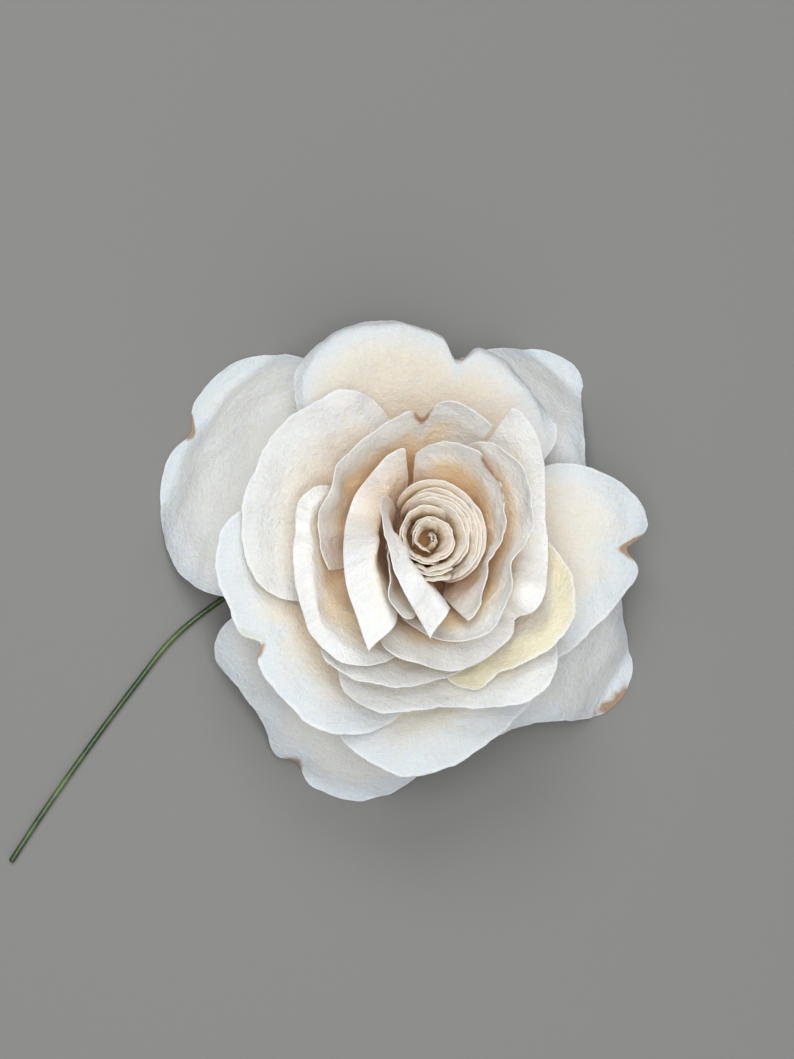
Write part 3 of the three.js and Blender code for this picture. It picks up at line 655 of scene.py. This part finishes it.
def petal_material(name, tip, base):
    """Matt dried petal: base colour near the heart, tip colour at the rim, peach where it is warm and
    deep, partly its own tone and partly painted warm shade where petals lie hidden in each other;
    grain, veins, a pale thin margin and brown or green stains."""
    if name in bpy.data.materials:
        return bpy.data.materials[name]
    colours = bpy.context.scene.rose_colours
    material, tree, shader = new_material(name, PETAL_FINISH)
    place = put(tree, "ShaderNodeTexCoord")
    nodes = [put(tree, "ShaderNodeGroup", node_tree=g()) for g in (suede_grain, petal_veins, dry_margin)]
    for node, source in zip(nodes, ("Object", "UV", "Object")):
        tree.links.new(place.outputs[source], node.inputs["Vector"])
    for label, source in (("Gap", "rim_gap"), ("Brown", "browning"), ("Green", "greening")):
        tree.links.new(attribute(tree, source), nodes[2].inputs[label])
    grain, veins, margin = (node.outputs for node in nodes)
    along, warmth = attribute(tree, "along"), attribute(tree, "warmth")
    # base, peach and deep colours come in with the distance behind the rim and towards the foot: partly the
    # petal's own warmer base, partly painted warm shade between the petals
    depth_for_tone_and_shade = maths(tree, "ADD", attribute(tree, "rim_gap"), times(tree, grain["Mottle"], 5.0))
    grey = maths(tree, "SUBTRACT", 1.0, times(tree, warmth, 0.8))
    colour = layered(tree, tip, (
        (ramp(tree, depth_for_tone_and_shade, 6.0, 12.0), base),
        (times(tree, ramp(tree, depth_for_tone_and_shade, 7.0, 14.5), warmth), colours.peach),
        (times(tree, ramp(tree, along, 0.78, 0.36), warmth), colours.deep),
        (times(tree, ramp(tree, grain["Mottle"], 0.42, 0.72), 0.30, grey), colours.mottle),
        (times(tree, ramp(tree, grain["Blotch"], 0.5, 0.7), 0.25, grey), colours.mottle),
        (times(tree, veins["Line"], 0.14), VEIN_COLOUR),
        (times(tree, ramp(tree, grain["Grain"], 0.55, 0.72), 0.22), SPECK_COLOUR),
        (times(tree, margin["Rim"], 0.6), colours.rim),
        (times(tree, margin["Green"], 0.5), colours.green_tint),
        (times(tree, margin["Brown"], 0.85), colours.brown),
    ))
    tree.links.new(colour, shader.inputs["Base Color"])
    height = maths(tree, "ADD", times(tree, grain["Height"], 0.5), times(tree, veins["Height"], 0.25))
    bumped(tree, shader, height, 0.9, 0.0006)
    return material


def stem_material(name, top, low, roughness, patch_scale):
    """Green coat that is paler and browner in streaks and patches."""
    material, tree, shader = new_material(name, {"Roughness": roughness})
    place = put(tree, "ShaderNodeTexCoord").outputs["Object"]
    grain = put(tree, "ShaderNodeGroup", node_tree=suede_grain())
    tree.links.new(place, grain.inputs["Vector"])
    colour = layered(tree, top, (
        (ramp(tree, noise(tree, place, patch_scale, 4.0, 0.6), 0.38, 0.66), low),
        (times(tree, grain.outputs["Grain"], 0.25), STEM_SHADE),
    ))
    tree.links.new(colour, shader.inputs["Base Color"])
    bumped(tree, shader, grain.outputs["Height"], 0.5, 0.00015)
    return material


# Settings


class RosePetalSettings(PropertyGroup):
    """Sizes of the petals."""

    thickness: FloatProperty(name="Thickness", description="Thickness of a petal",
                             default=0.0004, min=0.0002, max=0.0006, unit="LENGTH", precision=5)
    raggedness: FloatProperty(name="Raggedness", description="Size of the small dips along a rim",
                              default=0.00013, min=0, max=0.0005, unit="LENGTH", precision=5)
    crumple: FloatProperty(name="Crumple", description="Share of the full waves and dents",
                           default=0.8, min=0, max=2, subtype="FACTOR")
    columns: IntProperty(name="Columns", description="Grid lines across a petal",
                         default=86, min=20, max=160)
    rows: IntProperty(name="Rows", description="Grid lines from base to rim",
                      default=60, min=16, max=120)


def colour(name, description, default):
    """A colour that the user can change."""
    return FloatVectorProperty(name=name, description=description, default=default, subtype="COLOR",
                               size=3, min=0, max=1)


class RoseColours(PropertyGroup):
    """Colours of the flower."""

    white: colour("White", "Rim of the guard and outer petals", (0.70, 0.74, 0.755))
    ivory: colour("Ivory", "Rim of the middle petals", (0.79, 0.79, 0.765))
    yellow: colour("Yellow", "Rim of the yellowed petal", (0.86, 0.77, 0.56))
    cream: colour("Cream", "Rim of the inner petals", (0.88, 0.865, 0.82))
    heart: colour("Heart", "Rim of the heart's petals", (0.95, 0.84, 0.69))
    # peach and deep peach are partly the petals' own tone and partly painted warm shade deep between them
    peach: colour("Peach", "Inner half of a warm petal", (0.88, 0.64, 0.40))
    deep: colour("Deep peach", "Foot of a warm petal", (0.72, 0.36, 0.12))
    rim: colour("Thin rim", "Thin margin of every petal", (0.93, 0.91, 0.86))
    brown: colour("Brown", "Dried notches", (0.34, 0.17, 0.07))
    green_tint: colour("Green tint", "Greenish patches", (0.52, 0.58, 0.30))
    mottle: colour("Mottling", "Greyer blotches of every petal", (0.68, 0.70, 0.71))
    leaf: colour("Leaf green", "Hip and sepals", (0.16, 0.20, 0.05))
    leaf_dry: colour("Dry leaf", "Dried patches of hip and sepals", (0.30, 0.24, 0.10))
    wire: colour("Wire", "Upper side of the wire", (0.025, 0.06, 0.015))
    wire_pale: colour("Pale wire", "Pale streaks of the wire", (0.10, 0.17, 0.05))


class RoseStageSettings(PropertyGroup):
    """Floor and lights."""

    floor: colour("Floor", "Colour of the floor", (0.22, 0.22, 0.215))
    key: FloatProperty(name="Key light", description="Power of the soft light from behind and above",
                       default=2.3, min=0, unit="POWER")
    fill: FloatProperty(name="Fill light", description="Power of the wide light from in front",
                        default=2.1, min=0, unit="POWER")
    overhead: FloatProperty(name="Overhead light", description="Power of the light above the flower",
                            default=5.0, min=0, unit="POWER")
    sky: FloatProperty(name="Surround", description="Strength of the even light all round",
                       default=0.18, min=0)


# Pieces


def petal_colours(name):
    """A petal's material name, its rim and base colours, and its slot, by the group it is in."""
    colours = bpy.context.scene.rose_colours
    white, ivory, cream = tuple(colours.white), tuple(colours.ivory), tuple(colours.cream)
    if name == "middle_petal_yellow":
        return "Yellowed petal", tuple(colours.yellow), cream, "yellow_petal"
    if name.startswith(("guard", "outer")):
        return "White petal", white, ivory, "white_petal"
    if name.startswith("middle"):
        return "Ivory petal", ivory, cream, "ivory_petal"
    return "Cream petal", cream, tuple(colours.heart), "cream_petal"


class PetalMaker:
    """Builds each petal whose name starts with one of the given words."""

    starts = ()

    def execute(self, context):
        settings = context.scene.rose_petals
        for name, values in PETALS.items():
            if name.startswith(self.starts):
                label, tip, base, slot = petal_colours(name)
                shell = petal_shell(values, name, settings, (settings.columns, settings.rows))
                blender_mesh(name + "_dressed", *shell, petal_material(label, tip, base), slot, name)
        return {"FINISHED"}


class ROSE_OT_guard_petals(PetalMaker, Operator):
    """Make the four guard petals that droop to the floor"""

    bl_idname = "rose.guard_petals"
    bl_label = "Guard petals"
    starts = ("guard",)


class ROSE_OT_outer_petals(PetalMaker, Operator):
    """Make the four outer petals"""

    bl_idname = "rose.outer_petals"
    bl_label = "Outer petals"
    starts = ("outer",)


class ROSE_OT_middle_petals(PetalMaker, Operator):
    """Make the four middle petals"""

    bl_idname = "rose.middle_petals"
    bl_label = "Middle petals"
    starts = ("middle",)


class ROSE_OT_inner_petals(PetalMaker, Operator):
    """Make the five inner petals that wrap round the heart"""

    bl_idname = "rose.inner_petals"
    bl_label = "Inner petals"
    starts = ("inner",)


class ROSE_OT_curled_petals(PetalMaker, Operator):
    """Make the two curled petals and the narrow one between them"""

    bl_idname = "rose.curled_petals"
    bl_label = "Curled petals"
    starts = ("curled", "tongue")


def bowl_profile(level, start, end, steps):
    """Radius and height along a bowl: the sums of the cosine and sine of its slope."""
    s = np.linspace(0, end, 120)
    slope = np.radians(nest_slope(level + 0 * s, s))
    step = s[1] - s[0]
    rates = np.stack([np.cos(slope), np.sin(slope)], -1)
    run = np.concatenate([[[0, 0]], np.cumsum((rates[1:] + rates[:-1]) / 2, 0) * step])
    run = run + seat_at(level)
    wanted = np.linspace(start, end, steps)
    return np.stack([np.interp(wanted, s, run[:, k]) for k in range(2)], -1)


class ROSE_OT_heart(Operator):
    """Make the spiral of small petals at the heart, grown on a core"""

    bl_idname = "rose.heart"
    bl_label = "Heart"

    def execute(self, context):
        settings = context.scene.rose_petals
        shells = []
        for i, (turn, span, level, rim) in enumerate(HEART):
            start, claw = CORE_ROOTS[level >= CORE_SPLIT]
            values = dict(HEART_PLAIN, turn=turn, span=span, level=level, rim=(rim,), start=start, claw=claw)
            values.update(HEART_MORE.get(i, {}))
            grid = SHORT_GRID if span < SHORT_SPAN else HEART_GRID
            shells.append(petal_shell(values, "heart_%d" % i, settings, grid))
            # the heart's rings turn warm sooner behind their rims: partly their own peach, partly painted
            # warm shade
            shells[-1][2]["rim_gap"] *= HEART_TONE_AND_SHADE_WARMING
        foot = bowl_profile(CORE_LEVELS[0], 0.6, CORE_TOPS[0], 6)
        middle = bowl_profile(CORE_LEVELS[1], CORE_TOPS[0], CORE_TOPS[1], 8)
        top = bowl_profile(1.0, 0.0, CORE_TOPS[1], 2)[-1]
        profile = [[0, foot[0, 1]], *foot.tolist(), *middle.tolist(), [0, top[1]]]
        verts, faces = turned(profile, 48)
        plain = {k: 0 * verts[:, 0] for k in shells[0][2]}
        # the core takes the colours of a place far behind a rim: the heart's peach with painted warm shade
        plain["rim_gap"], plain["warmth"] = plain["rim_gap"] + CORE_DEPTH, plain["warmth"] + 1
        shells.append((verts, faces, plain))
        colours = context.scene.rose_colours
        # the heart's peach base colour behind its rims is partly its own tone and partly painted warm shade
        material = petal_material("Heart petal", tuple(colours.heart), tuple(colours.peach))
        blender_mesh("heart_dressed", *joined(shells), material, "heart_petal", "heart_petals")
        return {"FINISHED"}


# radius and height above the hip's bottom: the round hip, its neck, and the cone under the petals
HIP_BOTTOM = 4.4
HIP_PROFILE = [
    (0, 0), (1.2, 0), (1.7, 0.05), (2.6, 0.4), (3.4, 0.9), (4.2, 1.6), (4.7, 2.4), (4.95, 3.2), (4.9, 3.9),
    (4.6, 4.5), (4.5, 5), (4.9, 5.5), (6, 5.95), (7.2, 6.4), (8.1, 6.7), (8.3, 6.95), (8.22, 7.2),
    (6.1, 9.6), (4.0, 12.1), (1.95, 14.4), (1.6, 14.5), (0, 14.5),
]
SEPALS = 5
SEPAL_LENGTH, SEPAL_HALF_WIDTH, SEPAL_THICKNESS = 21.0, 3.75, 0.8
# radius and height at which a sepal leaves the hip
SEPAL_ROOT = (5.0, 10.2)


def sepal_shell(turn, seed):
    """A sepal: a long leaf shape whose half width is a sine of the way along, folded up at its sides
    like a shallow V, on a line that bends down from level to 32 degrees below it."""
    rng = np.random.default_rng(seed)
    t = edge_marks(30, (0.004, 0.012))
    v = 2 * edge_marks(17, (0.01, 0.03)) - 1
    V, T = np.meshgrid(v, t)
    slope = np.radians(2 - 34 * T)
    step = np.diff(T, axis=0) * SEPAL_LENGTH
    rate = [np.cos(slope), np.sin(slope)]
    run = [np.concatenate([0 * r[:1], np.cumsum((r[1:] + r[:-1]) / 2 * step, 0)]) for r in rate]
    half = SEPAL_HALF_WIDTH * np.sin(np.pi * (0.28 + 0.68 * T)) ** 0.8 * (1 - 0.35 * T)
    half = half + 0.12 * np.sin(T * 31 + rng.uniform(0, 6)) * (T > 0.2)
    fold = 0.9 * np.abs(V) * (1 - T) - 0.9 * (1 - T)
    ripple = 0.12 * np.sin(T * 17 + 3 * V + rng.uniform(0, 6)) * T
    points = np.stack([SEPAL_ROOT[0] + run[0], V * half, SEPAL_ROOT[1] + run[1] + fold + ripple], -1)
    c, s = np.cos(np.radians(turn)), np.sin(np.radians(turn))
    points = points @ np.array([[c, s, 0], [-s, c, 0], [0, 0, 1]])
    near = np.minimum.reduce([(1 - np.abs(V)) * 8, T * 20, (1 - T) * 20])
    thick = SEPAL_THICKNESS / 2 * np.sqrt(1 - (1 - np.clip(near, 0, 1)) ** 2)
    verts, faces, _ = closed_shell(points, surface_normals(points) * thick[..., None])
    return verts, faces, {}


class ROSE_OT_calyx(Operator):
    """Make the hip, the cone that the petals grow from and the five sepals"""

    bl_idname = "rose.calyx"
    bl_label = "Calyx"

    def execute(self, context):
        shells = [(*turned(np.array(HIP_PROFILE) + (0, HIP_BOTTOM), 64), {})]
        shells += [sepal_shell(20 + 360 / SEPALS * i, 40 + i) for i in range(SEPALS)]
        colours = context.scene.rose_colours
        material = stem_material("Dry green calyx", colours.leaf, colours.leaf_dry, 0.75, 260.0)
        blender_mesh("calyx_dressed", *joined(shells), material, "calyx", "calyx")
        return {"FINISHED"}


# radius of the wire's turn below the hip, height of its upper end, and the run along the floor
WIRE_BEND = 3.2
WIRE_TOP = 8.0
WIRE_WAY = (-1, -0.06, 0)
WIRE_RUN = [(-12, -0.9), (-24, -2.6), (-34, -6), (-41.5, -10.8), (-49.3, -17.5), (-57, -27.4), (-66, -39.8),
            (-76, -54.5), (-82, -64)]


def wire_path(samples):
    """Centripetal Catmull-Rom curve through the wire's points: down out of the hip, round a quarter
    circle and along the floor."""
    out = np.array(WIRE_WAY) / np.linalg.norm(WIRE_WAY)
    up = np.array([0, 0, 1.0])
    turn = np.linspace(0, np.pi / 2, 7)[:, None]
    bend = (out * (1 - np.cos(turn)) + up * (1 - np.sin(turn))) * WIRE_BEND + up * WIRE_RADIUS
    run = np.array([(x, y, WIRE_RADIUS) for x, y in WIRE_RUN])
    p = np.concatenate([[[0, 0, WIRE_TOP]], bend, run])
    p = np.concatenate([2 * p[:1] - p[1:2], p, 2 * p[-1:] - p[-2:-1]])
    knots = np.concatenate([[0], np.cumsum(np.linalg.norm(np.diff(p, axis=0), axis=1) ** 0.5)])
    t = np.linspace(knots[1], knots[-2] - 1e-9, samples)
    i = np.clip(np.searchsorted(knots, t, side="right") - 1, 1, len(p) - 3)

    def mix(a, b, ta, tb):
        """Straight-line mix of a at ta and b at tb."""
        w = ((t - ta) / (tb - ta))[:, None]
        return a * (1 - w) + b * w

    k = [knots[i + n] for n in (-1, 0, 1, 2)]
    q = [p[i + n] for n in (-1, 0, 1, 2)]
    a = [mix(q[n], q[n + 1], k[n], k[n + 1]) for n in range(3)]
    b = [mix(a[n], a[n + 1], k[n], k[n + 2]) for n in range(2)]
    return mix(b[0], b[1], k[1], k[2])


WIRE_SAMPLES, WIRE_SIDES = 360, 20
# share by which the coat swells and thins, how often, and the share of the radius at the cut ends
COAT_SWELL, COAT_WAVES, CUT_END = 0.015, 90, 0.7


class ROSE_OT_stem(Operator):
    """Make the green wire that runs out along the floor"""

    bl_idname = "rose.stem"
    bl_label = "Wire stem"

    def execute(self, context):
        along = np.linspace(0, 1, WIRE_SAMPLES)
        radius = WIRE_RADIUS * (1 - COAT_SWELL + COAT_SWELL * np.sin(along * COAT_WAVES))
        radius[[0, -1]] *= CUT_END
        verts, faces = swept(wire_path(WIRE_SAMPLES), radius, WIRE_SIDES, (0.6, -0.8, 0))
        colours = context.scene.rose_colours
        material = stem_material("Coated wire", colours.wire, colours.wire_pale, 0.32, 60.0)
        blender_mesh("stem_wire_dressed", verts, faces, {}, material, "wire", "stem_wire")
        return {"FINISHED"}


# Stage

# the picture's frame in pixels, and its scale for a thing REFERENCE_HEIGHT mm above the floor
PHOTO_WIDTH, PHOTO_HEIGHT = 794.0, 1059.0
PIXELS_PER_MM = 5.0
REFERENCE_HEIGHT = 35.0
CAMERA_DISTANCE = 420.0
SENSOR_HEIGHT = 36.0
# how far in degrees the flower's axis leans from the camera's line, and which way
LEAN = 9.5
LEAN_DIRECTION = 45.0
HEART_PIXEL = (430.0, 537.0)
HEART_HEIGHT = 46.0
FLOOR_HALF_WIDTH = 4.0
FLOOR_LEVEL = -0.0001
LIGHT_TARGET = (0, 0, 0.03)
# each light's size in metres, its place seen from its target, and its tint
LIGHTS = {
    "key": (0.34, (-0.12, 0.44, 0.64), (1.0, 0.99, 0.97)),
    "fill": (0.9, (0.10, -0.58, 0.50), (1.0, 0.99, 0.98)),
    "overhead": (0.5, (-0.10, -0.04, 0.85), (1.0, 1.0, 1.0)),
}
SKY_TINT = (0.94, 0.96, 1.0, 1)


def area_light(name, power, size, place, target, tint):
    """A square light of this size, turned to face its target."""
    light = bpy.data.lights.new(name, "AREA")
    light.energy, light.size, light.color = power, size, tint
    lamp = bpy.data.objects.new(name, light)
    bpy.context.scene.collection.objects.link(lamp)
    lamp.location = place
    lamp.rotation_euler = (Vector(target) - Vector(place)).to_track_quat("-Z", "Y").to_euler()


class ROSE_OT_stage(Operator):
    """Make the floor, the soft lights and the camera that looks down on the flower"""

    bl_idname = "rose.stage"
    bl_label = "Stage"

    def execute(self, context):
        scene = context.scene
        scene.view_settings.view_transform = "Standard"
        stage = scene.rose_stage
        mesh = bpy.data.meshes.new("floor")
        corners = [(x * FLOOR_HALF_WIDTH, y * FLOOR_HALF_WIDTH, FLOOR_LEVEL)
                   for x, y in ((-1, -1), (1, -1), (1, 1), (-1, 1))]
        mesh.from_pydata(corners, [], [(0, 1, 2, 3)])
        floor = bpy.data.objects.new("floor", mesh)
        scene.collection.objects.link(floor)
        finish = {"Base Color": (*stage.floor, 1), "Roughness": 0.9}
        mesh.materials.append(new_material("Pale floor", finish)[0])
        centre = Vector(AXIS * MM) + Vector(LIGHT_TARGET)
        for name, (size, place, tint) in LIGHTS.items():
            area_light(name, getattr(stage, name), size, centre + Vector(place), centre, tint)
        world = bpy.data.worlds.new("Soft surround")
        scene.world = world
        world.use_nodes = True
        backdrop = world.node_tree.nodes["Background"]
        backdrop.inputs["Color"].default_value = SKY_TINT
        backdrop.inputs["Strength"].default_value = stage.sky
        self.camera(scene)
        return {"FINISHED"}

    def camera(self, scene):
        """Sets the camera on a line through the heart that leans from the flower's axis, as far off as
        gives the photo's scale, and moves it sideways until the heart falls on its pixel."""
        lean, toward = np.radians(LEAN), np.radians(LEAN_DIRECTION)
        back = np.array([-np.sin(lean) * np.cos(toward), -np.sin(lean) * np.sin(toward), np.cos(lean)])
        up = np.array([0, 1.0, 0]) - back[1] * back
        up /= np.linalg.norm(up)
        right = np.cross(up, back)
        focal = PIXELS_PER_MM * CAMERA_DISTANCE
        heart = np.array([0, 0, HEART_HEIGHT])
        away = CAMERA_DISTANCE - (HEART_HEIGHT - REFERENCE_HEIGHT) * back[2]
        over = (HEART_PIXEL[0] - PHOTO_WIDTH / 2) / focal * away
        above = (PHOTO_HEIGHT / 2 - HEART_PIXEL[1]) / focal * away
        place = heart + back * away - right * over - up * above
        data = bpy.data.cameras.new("camera")
        data.sensor_fit = "VERTICAL"
        data.sensor_height = SENSOR_HEIGHT
        data.lens = focal / PHOTO_HEIGHT * SENSOR_HEIGHT
        data.clip_start = 0.01
        camera = bpy.data.objects.new("camera", data)
        scene.collection.objects.link(camera)
        turn = Matrix(np.stack([right, up, back], 1).tolist()).to_4x4()
        camera.matrix_world = Matrix.Translation(Vector((place + AXIS) * MM)) @ turn
        scene.camera = camera


class ROSE_PT_panel(Panel):
    """Lists the rose's settings and the buttons that make its pieces"""

    bl_idname = "ROSE_PT_panel"
    bl_label = "Dried rose"
    bl_space_type = "VIEW_3D"
    bl_region_type = "UI"
    bl_category = "Rose"

    def draw(self, context):
        layout = self.layout
        for settings in (context.scene.rose_petals, context.scene.rose_colours, context.scene.rose_stage):
            box = layout.box()
            for key in settings.bl_rna.properties.keys():
                if key not in ("rna_type", "name"):
                    box.prop(settings, key)
        for operator in MAKERS:
            layout.operator(operator.bl_idname)


SETTINGS = {"rose_petals": RosePetalSettings, "rose_colours": RoseColours, "rose_stage": RoseStageSettings}
MAKERS = (
    ROSE_OT_guard_petals, ROSE_OT_outer_petals, ROSE_OT_middle_petals, ROSE_OT_inner_petals,
    ROSE_OT_curled_petals, ROSE_OT_heart, ROSE_OT_calyx, ROSE_OT_stem, ROSE_OT_stage,
)


def register():
    """Registers the classes and hangs the settings on the scene."""
    for kind in (*SETTINGS.values(), *MAKERS, ROSE_PT_panel):
        bpy.utils.register_class(kind)
    for key, kind in SETTINGS.items():
        setattr(bpy.types.Scene, key, PointerProperty(type=kind))


def unregister():
    """Takes the settings and the classes away again."""
    for key in SETTINGS:
        delattr(bpy.types.Scene, key)
    for kind in reversed((*SETTINGS.values(), *MAKERS, ROSE_PT_panel)):
        bpy.utils.unregister_class(kind)


def main():
    """Makes every piece and the stage in order."""
    register()
    for maker in MAKERS:
        family, name = maker.bl_idname.split(".")
        getattr(getattr(bpy.ops, family), name)()


if __name__ == "__main__":
    main()
